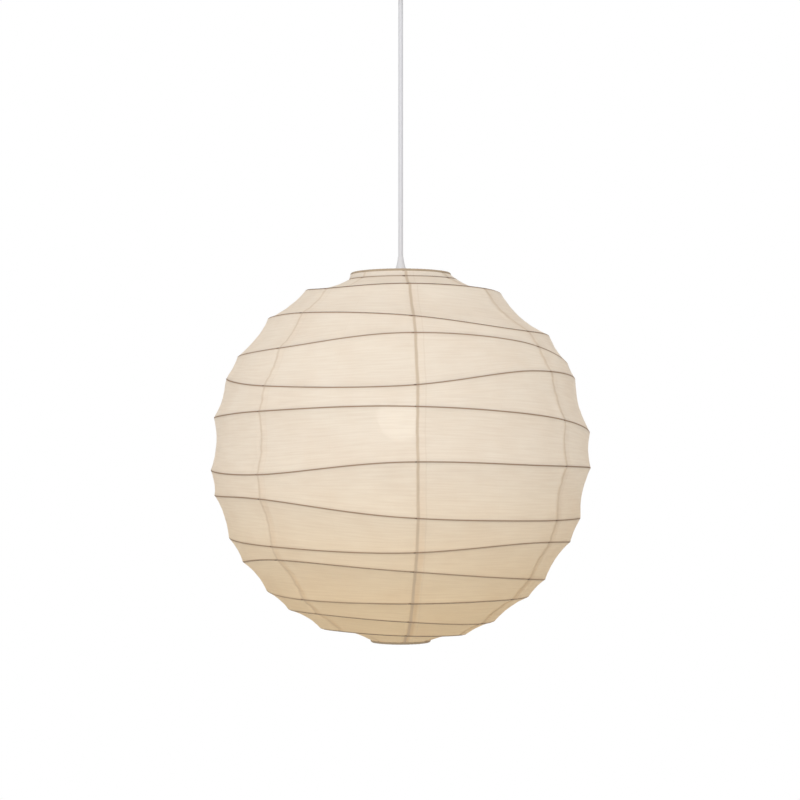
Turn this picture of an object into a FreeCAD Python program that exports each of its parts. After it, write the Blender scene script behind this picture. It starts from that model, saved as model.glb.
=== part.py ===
"""Paper ball pendant shade on its cord, from the ceiling cup down to the bottom ring.

Millimetres, +Z up. The origin is the middle of the bracket's face against the ceiling, and everything
hangs below it. Pieces of the lamp are drawn about the ball's centre and dropped by ball_drop.
"""

import FreeCAD, Part
import Sketcher
import math
import os
import re

V = FreeCAD.Vector

SIZES = {
    # the paper ball, measured from its centre
    "ball_drop": 610, "ball_radius": 223.5, "paper": 0.4, "gore_count": 7, "first_seam": -84.5,
    "gore_top": 74.05, "gore_foot": -80,
    "rib_sphere": 222.2, "rib_gauge": 0.75,
    "ring_gauge": 1.2, "hem_bore": 1.3, "hem_skin": 1.7,
    "top_ring_radius": 58, "top_ring_height": 214, "foot_ring_radius": 34, "foot_ring_height": -219.2,
    # the sprung wire stretcher
    "leg_gauge": 1, "wire_bend": 2, "leg_offset": 29.7, "arm_height": 214.8, "saddle_height": 211.2,
    "arm_reach": 50, "saddle_start": 53, "arm_tip": 59.5, "foot_tip": 36.5, "foot_height": -216.1,
    "loop_bore": 20.4, "loop_rim": 26.5, "loop_foot": 146.7, "loop_head": 147.9, "loop_tab": 28.69,
    "tab_width": 6,
    # the cord and its ceiling end, measured from the ceiling
    "cord_gauge": 2.85, "cord_pivot": -57, "cord_end": 184, "tail_top": -12, "tail_foot": -53.8,
    "cup_rim": 50, "cup_shoulder": 44, "cup_depth": 56, "cup_wall": 2, "cup_top": -0.5,
    "cup_round": 9, "cup_hole": 6, "cup_screw_height": -8, "cup_screw_hole": 1.7,
    "strap_half": 45, "strap_width": 20, "strap_gauge": 1.5, "tab_drop": 14, "strap_screw_hole": 2.25,
    "strap_screw_offset": 32, "tab_hole": 1.5,
    "screw_shank": 1.45, "screw_head": 2.8, "screw_head_length": 2, "screw_length": 9.5, "screw_seat": 0.3,
    "gland_neck": 5.9, "gland_flange": 9.5, "gland_foot": -62, "gland_top": -47, "gland_bore": 3.2,
    "gland_mouth": 5.4, "gland_round": 2, "nut_across": 9, "nut_height": 5,
    "anchor_long": 20, "anchor_deep": 16, "anchor_height": 16, "anchor_bore": 2.9, "anchor_roof": 5,
    "anchor_screw_rise": 3, "anchor_screw_length": 6, "anchor_head_length": 1.5, "channel_width": 5.2,
    "block_long": 24, "block_height": 14, "block_offset": 23, "block_bore": 1.6, "block_pitch": 6,
    "bore_level": -8, "well_depth": 5, "well_gap": 0.1, "grub_length": 3.5, "grub_sink": 0.5,
    "core_gauge": 0.9, "core_spread": 1.2, "core_bend": 1.5, "core_lead": 6, "core_cross": 2, "core_grip": 4,
    # the lampholder, measured from the ball's centre
    "relief_bore": 2.9, "relief_tip": 3.3, "relief_top": 235, "relief_waist": 5.7, "relief_waist_height": 223,
    "relief_neck": 9, "relief_flange": 10, "relief_foot": 194, "relief_step": 4, "relief_curve": 60,
    "cap_bore": 20, "cap_skin": 22, "cap_foot": 150, "cap_shoulder": 180, "cap_top": 203, "cap_hole": 9.2,
    "cap_curve": 30, "cap_lip": 1,
    "skirt_skin": 19.9, "skirt_bore": 17, "skirt_foot": 108, "skirt_top": 165,
    "flange_rim": 24, "flange_foot": 148,
    "insert_radius": 16.4, "insert_foot": 141, "insert_top": 156,
    "shell_bore": 13.4, "shell_skin": 13.9, "shell_foot": 112, "shell_lip": 3, "shell_wall": 0.5,
    "contact_pin": 2, "contact_disc": 6, "contact_foot": 135.4, "contact_gauge": 0.7,
    "post_side": 6, "post_height": 7, "post_offset": 8, "post_screw_radius": 2.3, "post_screw_height": 2,
    "core_drop": 6,
    "clamp_long": 22, "clamp_deep": 9, "clamp_foot": 182, "clamp_height": 8,
    "ring_bore": 19.97, "ring_rim": 26.5, "ring_foot": 138.4, "ring_head": 146.4, "ring_chamfer": 1.5,
    # the lamp bulb, measured from the ball's centre
    "bulb_tip": 135, "tip_radius": 4.5, "tip_gauge": 1.6, "tip_round": 1, "glass_head": 7.5, "glass_rim": 12.8,
    "cap_thread": 13,
    "thread_bore": 12.5, "thread_foot": 108, "thread_top": 129,
    "neck": 13.6, "neck_foot": 104, "neck_skin": 14.5, "neck_bore": 10.6, "neck_inside": 11,
    "housing_foot": 60, "housing_rim": 23.05, "housing_wall": 2, "housing_curve": 120,
    "dome_radius": 27.5, "dome_height": 45, "dome_wall": 1.2, "dome_seat": 1.5,
    "board_radius": 19.5, "board_gauge": 1.5, "board_rise": 0.5,
}

# Heights of the rib wire where it passes the ball's left and right sides, turn by turn from the top.
LEFT_SIDE = (210, 197, 163, 117, 92, 45, -17, -48, -97, -127, -160, -183, -207)
RIGHT_SIDE = (209, 191, 142, 107, 90, 24, -16, -76, -104, -149, -168, -197, -214)


AT_ZERO = 1e-9
LEAST_CUT = 0.5

doc = FreeCAD.newDocument("PaperBallPendant")
sheet = doc.addObject("Spreadsheet::Sheet", "Sizes")
for row, (alias, value) in enumerate(SIZES.items(), start=1):
    sheet.set(f"A{row}", alias)
    sheet.set(f"B{row}", str(value))
    sheet.setAlias(f"B{row}", alias)
doc.recompute()

pieces = {}


def size(alias):
    """The number in the sheet under alias."""
    return float(sheet.get(alias))


def cells(text):
    """An expression that reads each word of text from the sheet."""
    return re.sub(r"[a-z_]+", lambda word: "Sizes." + word.group(), text)


def value_of(text):
    """The number that an expression in sheet words comes to."""
    return float(sheet.evalExpression(cells(text)))


def bind(obj, **properties):
    """Ties properties of obj to expressions in sheet words, and returns obj."""
    for name, text in properties.items():
        obj.setExpression(name.replace("__", "."), cells(text))
    return obj


def keep(label, obj, lamp=False):
    """Names obj as the piece label. A piece of the lamp is dropped from the ceiling to the ball's centre."""
    obj.Label = label
    pieces[label] = obj
    if lamp:
        obj.setExpression("Placement.Base.z", "-Sizes.ball_drop")
    return obj


def origin_plane(body, role):
    """The body's own origin plane with that role."""
    return next(plane for plane in body.Origin.OriginFeatures if plane.Role == role)


def new_sketch(body, name, role):
    """An empty sketch on one of the body's origin planes."""
    sketch = body.newObject("Sketcher::SketchObject", name)
    sketch.AttachmentSupport = [(origin_plane(body, role), "")]
    sketch.MapMode = "FlatFace"
    return sketch


def arc_between(start, end, radius, side):
    """A sketch arc from start to end that bulges to that side, and the positions of those two ends on it."""
    chord = end - start
    normal = V(-chord.y, chord.x, 0).normalize()
    rise = math.sqrt(max(radius**2 - (chord.Length / 2) ** 2, 0))
    bulge = 1 if side == "left" else -1
    centre = (start + end) * 0.5 - normal * (rise * bulge)
    first = math.atan2(start.y - centre.y, start.x - centre.x)
    last = math.atan2(end.y - centre.y, end.x - centre.x)
    low, high = (last, first) if bulge > 0 else (first, last)
    if high < low:
        high += 2 * math.pi
    arc = Part.ArcOfCircle(Part.Circle(centre, V(0, 0, 1), radius), low, high)
    return arc, (2, 1) if bulge > 0 else (1, 2)


def draw_outline(sketch, outline):
    """Draws a closed outline. Each entry is (x, y), or (x, y, radius, side) where an arc leads to the next."""
    corners = [V(value_of(entry[0]), value_of(entry[1]), 0) for entry in outline]
    ends = []
    for index, entry in enumerate(outline):
        start = corners[index]
        end = corners[(index + 1) % len(corners)]
        if len(entry) == 2:
            sketch.addGeometry(Part.LineSegment(start, end), False)
            ends.append((1, 2))
        else:
            arc, order = arc_between(start, end, value_of(entry[2]), entry[3])
            sketch.addGeometry(arc, False)
            ends.append(order)
    for index, entry in enumerate(outline):
        following = (index + 1) % len(outline)
        sketch.addConstraint(
            Sketcher.Constraint("Coincident", index, ends[index][1], following, ends[following][0])
        )
        for kind, axis, text, number in (
            ("DistanceX", -2, entry[0], corners[index].x),
            ("DistanceY", -1, entry[1], corners[index].y),
        ):
            if abs(number) < AT_ZERO:
                sketch.addConstraint(Sketcher.Constraint("PointOnObject", index, ends[index][0], axis))
                continue
            made = sketch.addConstraint(Sketcher.Constraint(kind, -1, 1, index, ends[index][0], number))
            sketch.setExpression(f"Constraints[{made}]", cells(text))
        if len(entry) > 2:
            made = sketch.addConstraint(Sketcher.Constraint("Radius", index, value_of(entry[2])))
            sketch.setExpression(f"Constraints[{made}]", cells(entry[2]))


def turned(label, outline, lamp=True):
    """A piece turned about the vertical axis from its half section, a list of (radius, height) corners."""
    body = doc.addObject("PartDesign::Body", "Body_" + label)
    sketch = new_sketch(body, "Section_" + label, "XZ_Plane")
    draw_outline(sketch, outline)
    doc.recompute()
    turn = body.newObject("PartDesign::Revolution", "Turn_" + label)
    turn.Profile = sketch
    turn.ReferenceAxis = (sketch, ["V_Axis"])
    turn.Angle = 360
    body.Tip = turn
    return keep(label, body, lamp)


def pocket_through(body, name, role, circles):
    """Cuts round holes right through a body. Each circle is (x, y, radius) in sheet words."""
    doc.recompute()
    before = body.Shape.Volume
    sketch = new_sketch(body, name + "_sketch", role)
    for index, (across, along, radius) in enumerate(circles):
        centre = V(value_of(across), value_of(along), 0)
        sketch.addGeometry(Part.Circle(centre, V(0, 0, 1), value_of(radius)), False)
        made = sketch.addConstraint(Sketcher.Constraint("Radius", index, value_of(radius)))
        sketch.setExpression(f"Constraints[{made}]", cells(radius))
    doc.recompute()
    pocket = body.newObject("PartDesign::Pocket", name)
    pocket.Profile = sketch
    pocket.Type = "ThroughAll"
    pocket.Midplane = True
    body.Tip = pocket
    doc.recompute()
    assert body.Shape.Volume < before - LEAST_CUT, f"{name} cuts nothing"


def cylinder(name, radius, height, base=("0", "0", "0"), along=V(0, 0, 1)):
    """A plain cylinder whose foot stands at base and which points along."""
    obj = doc.addObject("Part::Cylinder", name)
    obj.Placement.Rotation = FreeCAD.Rotation(V(0, 0, 1), along)
    return bind(
        obj, Radius=radius, Height=height,
        Placement__Base__x=base[0], Placement__Base__y=base[1], Placement__Base__z=base[2],
    )


def block(name, long, deep, high, centre, foot):
    """A plain box whose foot is centred at centre, a pair of places, and stands at height foot."""
    obj = doc.addObject("Part::Box", name)
    return bind(
        obj, Length=long, Width=deep, Height=high,
        Placement__Base__x=f"{centre[0]} - ({long}) / 2", Placement__Base__y=f"{centre[1]} - ({deep}) / 2",
        Placement__Base__z=foot,
    )


def joined(name, parts):
    """One solid from several that touch."""
    obj = doc.addObject("Part::MultiFuse", name)
    obj.Shapes = parts
    return obj


def grouped(name, parts):
    """Identical pieces kept side by side as separate solids."""
    obj = doc.addObject("Part::Compound", name)
    obj.Links = parts
    return obj


def cut(name, base, tools):
    """The base less its tools."""
    obj = doc.addObject("Part::Cut", name)
    obj.Base = base
    obj.Tool = tools[0] if len(tools) == 1 else joined(name + "_tools", tools)
    return obj


def wire_ring(name, radius, height, gauge):
    """A round wire bent to a ring about the vertical axis."""
    obj = doc.addObject("Part::Torus", name)
    return bind(obj, Radius1=radius, Radius2=gauge, Placement__Base__z=height)


def rounded_path(corners, bend):
    """A wire along the corners, with every bend an arc of that radius."""
    edges = []
    start = corners[0]
    for before, corner, after in zip(corners, corners[1:], corners[2:]):
        arriving = (corner - before).normalize()
        leaving = (after - corner).normalize()
        turn = arriving.getAngle(leaving)
        setback = bend * math.tan(turn / 2)
        first = corner - arriving * setback
        last = corner + leaving * setback
        inward = (leaving - arriving).normalize()
        middle = corner + inward * (bend / math.cos(turn / 2) - bend)
        edges.append(Part.LineSegment(start, first).toShape())
        edges.append(Part.Arc(first, middle, last).toShape())
        start = last
    edges.append(Part.LineSegment(start, corners[-1]).toShape())
    return Part.Wire(edges)


def round_section(path, gauge):
    """The circle that is swept along a path, square to its start."""
    edge = path.OrderedEdges[0]
    at = edge.valueAt(edge.FirstParameter)
    return Part.Wire([Part.makeCircle(gauge, at, edge.tangentAt(edge.FirstParameter))])


def swept(path, gauge):
    """A round wire along a path."""
    return path.makePipeShell([round_section(path, gauge)], True, False)


def feature(label, shape, lamp=False):
    """A piece whose shape is made by code from the sheet's sizes."""
    obj = doc.addObject("Part::Feature", "Wire_" + label)
    obj.Shape = shape
    return keep(label, obj, lamp)


# ---- ceiling end: bracket, cup, terminals, cord anchor and outlet gland -------------------------------

bracket = doc.addObject("PartDesign::Body", "Body_ceiling_bracket")
channel = new_sketch(bracket, "Channel_section", "XZ_Plane")
draw_outline(channel, [
    ("-strap_half", "0"), ("strap_half", "0"), ("strap_half", "-tab_drop"),
    ("strap_half - strap_gauge", "-tab_drop"), ("strap_half - strap_gauge", "-strap_gauge"),
    ("strap_gauge - strap_half", "-strap_gauge"), ("strap_gauge - strap_half", "-tab_drop"),
    ("-strap_half", "-tab_drop"),
])
doc.recompute()
strap = bracket.newObject("PartDesign::Pad", "Strap")
strap.Profile = channel
strap.Midplane = True
bind(strap, Length="strap_width")
bracket.Tip = strap
pocket_through(bracket, "Ceiling_screw_holes", "XY_Plane", [
    ("strap_screw_offset", "0", "strap_screw_hole"), ("-strap_screw_offset", "0", "strap_screw_hole"),
])
pocket_through(bracket, "Cup_screw_taps", "YZ_Plane", [("0", "cup_screw_height", "tab_hole")])
keep("ceiling_bracket", bracket)

cup = turned("canopy_cup", [
    ("cup_rim - cup_wall", "cup_top"), ("cup_rim", "cup_top"),
    ("cup_shoulder", "cup_round - cup_depth", "cup_round", "left"),
    ("cup_shoulder - cup_round", "-cup_depth"), ("cup_hole", "-cup_depth"),
    ("cup_hole", "cup_wall - cup_depth"),
    ("cup_shoulder - cup_round", "cup_wall - cup_depth", "cup_round - cup_wall", "right"),
    ("cup_shoulder - cup_wall", "cup_round - cup_depth"),
], lamp=False)
pocket_through(cup, "Cup_screw_holes", "YZ_Plane", [("0", "cup_screw_height", "cup_screw_hole")])

cup_screws = []
for side, sign in (("left", -1), ("right", 1)):
    inward = V(-sign, 0, 0)
    head_at = (f"({sign}) * (cup_rim + screw_head_length)", "0", "cup_screw_height")
    head = cylinder(f"Cup_screw_head_{side}", "screw_head", "screw_head_length + screw_seat", head_at, inward)
    shank = cylinder(f"Cup_screw_shank_{side}", "screw_shank", "screw_length", head_at, inward)
    cup_screws.append(joined(f"Cup_screw_{side}", [head, shank]))
keep("cup_screws", grouped("Cup_screw_pair", cup_screws))

anchor_body = block("Anchor_block", "anchor_long", "anchor_deep", "anchor_height", ("0", "0"),
                    "-strap_gauge - anchor_height")
anchor_hole = cylinder("Anchor_hole", "anchor_bore", "anchor_height",
                       ("0", "0", "-strap_gauge - anchor_height - anchor_roof"))
anchor_taps = [
    cylinder(f"Anchor_tap_{side}", "tab_hole", "anchor_deep / 2 - anchor_bore",
             ("0", f"({sign}) * anchor_deep / 2", "anchor_screw_rise - anchor_height"), V(0, -sign, 0))
    for side, sign in (("front", -1), ("back", 1))
]
anchor_channel = block("Anchor_channel", "anchor_long / 2", "channel_width", "anchor_height / 2",
                       ("-anchor_long / 4", "0"), "-strap_gauge - anchor_height / 2")
keep("cord_anchor", cut("Anchor_cut", anchor_body, [anchor_hole, anchor_channel] + anchor_taps))

anchor_screws = []
for side, sign in (("front", -1), ("back", 1)):
    head_at = ("0", f"({sign}) * (anchor_deep / 2 + anchor_head_length)", "anchor_screw_rise - anchor_height")
    head = cylinder(f"Anchor_head_{side}", "screw_head", "anchor_head_length", head_at, V(0, -sign, 0))
    shank = cylinder(f"Anchor_shank_{side}", "screw_shank", "anchor_screw_length", head_at, V(0, -sign, 0))
    anchor_screws.append(joined(f"Anchor_screw_{side}", [head, shank]))
keep("anchor_screws", grouped("Anchor_screw_pair", anchor_screws))

terminal_body = block("Terminal_body", "block_long / 2", "block_long", "block_height",
                      ("-block_offset", "0"), "-strap_gauge - block_height")
terminal_holes = []
terminal_screws = []
for side, sign in (("front", -1), ("back", 1)):
    place = f"({sign}) * block_pitch"
    terminal_holes.append(cylinder(f"Terminal_bore_{side}", "block_bore", "block_long / 2",
                                   ("-block_offset - block_long / 4", place, "bore_level"), V(1, 0, 0)))
    terminal_holes.append(cylinder(f"Terminal_well_{side}", "screw_head", "well_depth",
                                   ("-block_offset", place, "-strap_gauge - block_height")))
    terminal_screws.append(cylinder(f"Terminal_screw_{side}", "screw_head - well_gap", "grub_length",
                                    ("-block_offset", place, "grub_sink - strap_gauge - block_height")))
keep("terminal_block", cut("Terminal_cut", terminal_body, terminal_holes))
keep("terminal_screws", grouped("Terminal_screw_pair", terminal_screws))

keep("cord_tail", cylinder("Tail", "cord_gauge", "tail_top - tail_foot", ("0", "0", "tail_foot")))

for name, sign in (("live_core", -1), ("neutral_core", 1)):
    aside = sign * size("core_spread")
    pole = sign * size("block_pitch")
    level = size("bore_level")
    mouth = size("block_long") / 4 - size("block_offset")
    core_path = rounded_path([
        V(0, aside, size("tail_top")), V(0, aside, level), V(mouth + size("core_lead"), aside, level),
        V(mouth + size("core_cross"), pole, level), V(mouth - size("core_grip"), pole, level),
    ], size("core_bend"))
    feature(name, swept(core_path, size("core_gauge")))

turned("cord_gland", [
    ("gland_bore", "gland_top"), ("gland_neck", "gland_top"), ("gland_neck", "-cup_depth"),
    ("gland_flange", "-cup_depth"), ("gland_flange", "gland_foot + gland_round", "gland_round", "left"),
    ("gland_flange - gland_round", "gland_foot"), ("gland_mouth", "gland_foot"), ("gland_bore", "cord_pivot"),
], lamp=False)
nut_prism = doc.addObject("Part::Prism", "Nut_prism")
nut_prism.Polygon = 6
bind(nut_prism, Circumradius="nut_across", Height="nut_height", Placement__Base__z="cup_wall - cup_depth")
nut_hole = cylinder("Nut_hole", "gland_neck", "nut_height", ("0", "0", "cup_wall - cup_depth"))
keep("gland_nut", cut("Nut_cut", nut_prism, [nut_hole]))

# ---- cord and lampholder ---------------------------------------------------------------------------

cord_run = cylinder("Cord_run", "cord_gauge", "ball_drop + cord_pivot - cord_end",
                    ("0", "0", "cord_end - ball_drop"))
cord_top = doc.addObject("Part::Sphere", "Cord_top")
bind(cord_top, Radius="cord_gauge", Placement__Base__z="cord_pivot")
keep("cord", joined("Cord_joined", [cord_run, cord_top]))

turned("strain_relief", [
    ("relief_bore", "relief_foot"), ("relief_flange", "relief_foot"), ("relief_flange", "relief_foot + relief_step"),
    ("relief_neck", "relief_foot + relief_step"), ("relief_neck", "cap_top"),
    ("relief_waist", "relief_waist_height", "relief_curve", "left"), ("relief_tip", "relief_top"),
    ("relief_bore", "relief_top"),
])
turned("holder_cap", [
    ("cap_bore", "cap_foot"), ("cap_skin", "cap_foot"), ("cap_skin", "cap_shoulder", "cap_curve", "right"),
    ("cap_hole + cap_lip", "cap_top"), ("cap_hole", "cap_top"),
    ("cap_hole", "cap_top + cap_bore - cap_skin", "cap_curve + cap_bore - cap_skin", "left"),
    ("cap_bore", "cap_shoulder"),
])
turned("holder_skirt", [
    ("skirt_bore", "skirt_foot"), ("skirt_skin", "skirt_foot"), ("skirt_skin", "flange_foot"),
    ("flange_rim", "flange_foot"), ("flange_rim", "cap_foot"), ("skirt_skin", "cap_foot"),
    ("skirt_skin", "skirt_top"), ("skirt_bore", "skirt_top"),
])
turned("socket_insert", [
    ("0", "insert_foot"), ("insert_radius", "insert_foot"), ("insert_radius", "insert_top"), ("0", "insert_top"),
])
turned("socket_shell", [
    ("shell_bore", "shell_foot"), ("shell_skin", "shell_foot"), ("shell_skin", "insert_foot"),
    ("shell_bore - shell_lip", "insert_foot"), ("shell_bore - shell_lip", "insert_foot - shell_wall"),
    ("shell_bore", "insert_foot - shell_wall"),
])
turned("centre_contact", [
    ("0", "contact_foot"), ("contact_pin", "contact_foot"), ("contact_pin", "insert_foot - contact_gauge"),
    ("contact_disc", "insert_foot - contact_gauge"), ("contact_disc", "insert_foot"), ("0", "insert_foot"),
])
posts = []
for side, sign in (("left", -1), ("right", 1)):
    place = f"({sign}) * post_offset"
    post = block(f"Post_{side}", "post_side", "post_side", "post_height", (place, "0"), "insert_top")
    head = cylinder(f"Post_screw_{side}", "post_screw_radius", "post_screw_height",
                    (place, "0", "insert_top + post_height"))
    posts.append(joined(f"Terminal_post_{side}", [post, head]))
keep("holder_terminals", grouped("Terminal_posts", posts), lamp=True)

core_pair = []
for sign in (-1, 1):
    aside = sign * size("core_spread")
    post = sign * size("post_offset")
    post_top = size("insert_top") + size("post_height") + size("post_screw_height")
    core_pair.append(swept(rounded_path([
        V(aside, 0, size("cord_end")), V(aside, 0, size("cord_end") - size("core_drop")),
        V(post, 0, post_top + size("core_drop")), V(post, 0, post_top),
    ], size("core_bend")), size("core_gauge")))
feature("holder_cores", Part.makeCompound(core_pair), lamp=True)

clamp_body = block("Clamp_body", "clamp_long", "clamp_deep", "clamp_height", ("0", "0"), "clamp_foot")
clamp_hole = cylinder("Clamp_hole", "anchor_bore", "clamp_height", ("0", "0", "clamp_foot"))
keep("cord_clamp", cut("Clamp_cut", clamp_body, [clamp_hole]), lamp=True)

turned("shade_ring", [
    ("ring_bore", "ring_foot"), ("ring_rim - ring_chamfer", "ring_foot"),
    ("ring_rim", "ring_foot + ring_chamfer"),
    ("ring_rim", "ring_head"), ("ring_bore", "ring_head"),
])

# ---- sprung stretcher: loop on the lampholder and two bent wires ----------------------------------------

loop_disc = cylinder("Loop_disc", "loop_rim", "loop_head - loop_foot", ("0", "0", "loop_foot"))
loop_bar = block("Loop_bar", "2 * loop_tab", "tab_width", "loop_head - loop_foot", ("0", "0"), "loop_foot")
loop_hole = cylinder("Loop_hole", "loop_bore", "loop_head - loop_foot", ("0", "0", "loop_foot"))
keep("holder_loop", cut("Loop_cut", joined("Loop_plate", [loop_disc, loop_bar]), [loop_hole]), lamp=True)

for name, sign in (("stretcher_wire_left", -1), ("stretcher_wire_right", 1)):
    corners = [
        V(sign * size("foot_tip"), 0, size("foot_height")),
        V(sign * size("leg_offset"), 0, size("foot_height")),
        V(sign * size("leg_offset"), 0, size("arm_height")),
        V(sign * size("arm_reach"), 0, size("arm_height")),
        V(sign * size("saddle_start"), 0, size("saddle_height")),
        V(sign * size("arm_tip"), 0, size("saddle_height")),
    ]
    feature(name, swept(rounded_path(corners, size("wire_bend")), size("leg_gauge")), lamp=True)

# ---- the paper ball: rings, hems, gores and the rib wire -------------------------------------------------

for level, radius, height in (
    ("top", "top_ring_radius", "top_ring_height"),
    ("bottom", "foot_ring_radius", "foot_ring_height"),
):
    ring = wire_ring(f"Ring_{level}", radius, f"{height} - ball_drop", "ring_gauge")
    keep(f"{level}_ring", ring)
    skin = wire_ring(f"Hem_skin_{level}", radius, f"{height} - ball_drop", "hem_skin")
    core = wire_ring(f"Hem_core_{level}", radius, f"{height} - ball_drop", "hem_bore")
    keep(f"{level}_hem", cut(f"Hem_{level}", skin, [core]))

for number in range(int(size("gore_count"))):
    wedge = doc.addObject("Part::Sphere", f"Gore_wedge_{number + 1}")
    bind(wedge, Radius="ball_radius", Angle1="gore_foot", Angle2="gore_top", Angle3="360 / gore_count")
    hollow = doc.addObject("Part::Sphere", f"Gore_hollow_{number + 1}")
    bind(hollow, Radius="ball_radius - paper")
    gore = cut(f"Gore_shell_{number + 1}", wedge, [hollow])
    gore.Placement.Rotation = FreeCAD.Rotation(V(0, 0, 1), size("first_seam") + number * 360 / size("gore_count"))
    keep(f"paper_gore_{number + 1}", gore, lamp=True)


def side_point(height, side):
    """A point of the rib wire on the ball's left (-1) or right (1) side."""
    return V(side * math.sqrt(size("rib_sphere") ** 2 - height**2), 0, height)


def half_turn(start, end, towards):
    """Half a turn of the rib wire, flat and tilted, round the ball's front (-1) or back (1)."""
    middle = (start + end) * 0.5 + V(0, towards * (end - start).Length / 2, 0)
    return Part.Arc(start, middle, end).toShape()


half_turns = []
for turn, (left, right) in enumerate(zip(LEFT_SIDE, RIGHT_SIDE)):
    half_turns.append(half_turn(side_point(left, -1), side_point(right, 1), -1))
    if turn + 1 < len(LEFT_SIDE):
        half_turns.append(half_turn(side_point(right, 1), side_point(LEFT_SIDE[turn + 1], -1), 1))
rib_path = Part.Wire(half_turns)
rib = swept(rib_path, size("rib_gauge"))
rib_expected = math.pi * size("rib_gauge") ** 2 * rib_path.Length
print(f"rib wire: length {rib_path.Length:.0f} mm, volume {rib.Volume:.0f} of {rib_expected:.0f} mm3")
feature("rib_wire", rib, lamp=True)

# ---- the bulb ----------------------------------------------------------------------------------------

turned("bulb_contact", [
    ("0", "bulb_tip - tip_gauge"), ("tip_radius", "bulb_tip - tip_gauge"),
    ("tip_radius - tip_round", "bulb_tip"),
    ("0", "bulb_tip"),
])
turned("bulb_insulator", [
    ("0", "thread_top"), ("glass_rim", "thread_top"), ("glass_head", "bulb_tip - tip_gauge"),
    ("0", "bulb_tip - tip_gauge"),
])
turned("bulb_screw_cap", [
    ("thread_bore", "thread_foot"), ("cap_thread", "thread_foot"), ("cap_thread", "thread_top"),
    ("thread_bore", "thread_top"),
])
turned("bulb_housing", [
    ("neck_bore", "thread_foot"), ("neck", "thread_foot"), ("neck_skin", "neck_foot", "housing_curve", "right"),
    ("housing_rim", "housing_foot"),
    ("housing_rim - housing_wall", "housing_foot", "housing_curve - housing_wall", "left"),
    ("neck_inside", "neck_foot - housing_wall"), ("neck_bore", "neck_foot - housing_wall"),
])
turned("led_board", [
    ("0", "housing_foot + board_rise"), ("board_radius", "housing_foot + board_rise"),
    ("board_radius", "housing_foot + board_rise + board_gauge"),
    ("0", "housing_foot + board_rise + board_gauge"),
])
turned("bulb_dome", [
    ("0", "dome_height - dome_radius", "dome_radius", "right"), ("housing_rim", "housing_foot"),
    ("housing_rim - dome_seat", "housing_foot", "dome_radius - dome_wall", "left"),
    ("0", "dome_height - dome_radius + dome_wall"),
])

# ---- checks and export -------------------------------------------------------------------------------

doc.recompute()
for obj in doc.Objects:
    assert not {"Invalid", "Error"} & set(obj.State), f"{obj.Label}: {obj.State}"
cord = pieces["cord"].Shape
cord_length = size("ball_drop") + size("cord_pivot") - size("cord_end")
cord_expected = math.pi * size("cord_gauge") ** 2 * (cord_length + size("cord_gauge") * 2 / 3)
print(f"cord: straight, no bends, length {cord_length:.1f} mm")
print(f"cord: volume {cord.Volume:.0f} of {cord_expected:.0f} mm3")

os.makedirs("parts", exist_ok=True)
for label, obj in pieces.items():
    shape = obj.Shape
    assert not shape.isNull() and shape.isValid() and shape.Volume > 0, f"{label} is not a sound solid"
    print(f"{label}: {len(shape.Solids)} solid, {shape.Volume:.0f} mm3")
    shape.exportStep(f"parts/{label}.step")
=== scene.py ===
"""Paper ball pendant shade on its cord, in a plain studio. Metres, +Z up, with the ceiling at height 0."""

import bisect
import functools
import logging
import math
from collections.abc import Iterable, Sequence
from dataclasses import dataclass, field
from enum import Enum

import bpy
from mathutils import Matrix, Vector, noise


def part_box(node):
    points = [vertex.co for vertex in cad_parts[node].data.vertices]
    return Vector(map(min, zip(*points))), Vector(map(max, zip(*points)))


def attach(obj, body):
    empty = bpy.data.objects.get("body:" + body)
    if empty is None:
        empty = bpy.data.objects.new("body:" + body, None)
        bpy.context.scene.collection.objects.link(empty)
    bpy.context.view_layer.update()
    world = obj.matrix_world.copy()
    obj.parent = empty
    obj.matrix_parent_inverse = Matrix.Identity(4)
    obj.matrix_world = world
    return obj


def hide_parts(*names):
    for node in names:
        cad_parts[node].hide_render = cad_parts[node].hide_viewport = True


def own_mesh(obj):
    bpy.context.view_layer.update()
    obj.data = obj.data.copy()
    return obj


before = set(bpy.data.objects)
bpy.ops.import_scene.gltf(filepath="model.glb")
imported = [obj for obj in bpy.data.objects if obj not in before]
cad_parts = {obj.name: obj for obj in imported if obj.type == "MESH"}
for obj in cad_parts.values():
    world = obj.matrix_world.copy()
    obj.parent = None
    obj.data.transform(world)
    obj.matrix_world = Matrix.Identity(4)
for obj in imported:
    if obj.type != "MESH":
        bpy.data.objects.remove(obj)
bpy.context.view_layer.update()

log = logging.getLogger("pendant")
MM = 0.001
FULL_TURN = 360.0

Tree = bpy.types.NodeTree
Socket = bpy.types.NodeSocket
Piece = bpy.types.Object


# ---- small helpers ----


@functools.cache
def middle(node: str) -> Vector:
    """The middle of a CAD node's box, in metres."""
    low, high = (Vector(corner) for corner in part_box(node))
    return (low + high) / 2


def mix(first: float, second: float, share: float) -> float:
    """The value that lies share of the way from first to second."""
    return first + (second - first) * share


def ease(low: float, high: float, value: float) -> float:
    """A smooth step from 0 at low to 1 at high."""
    share = min(max((value - low) / (high - low), 0.0), 1.0)
    return share * share * (3 - 2 * share)


def linear(code: str) -> tuple[float, float, float, float]:
    """Turns an sRGB hex colour into linear red, green, blue and alpha.

    Args:
        code: Six hex digits after a hash.

    Returns:
        The four channels, from 0 to 1.
    """
    channels = [int(code[start:start + 2], 16) / 255 for start in (1, 3, 5)]
    lit = [c / 12.92 if c <= 0.04045 else ((c + 0.055) / 1.055) ** 2.4 for c in channels]
    return (*lit, 1.0)


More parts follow.
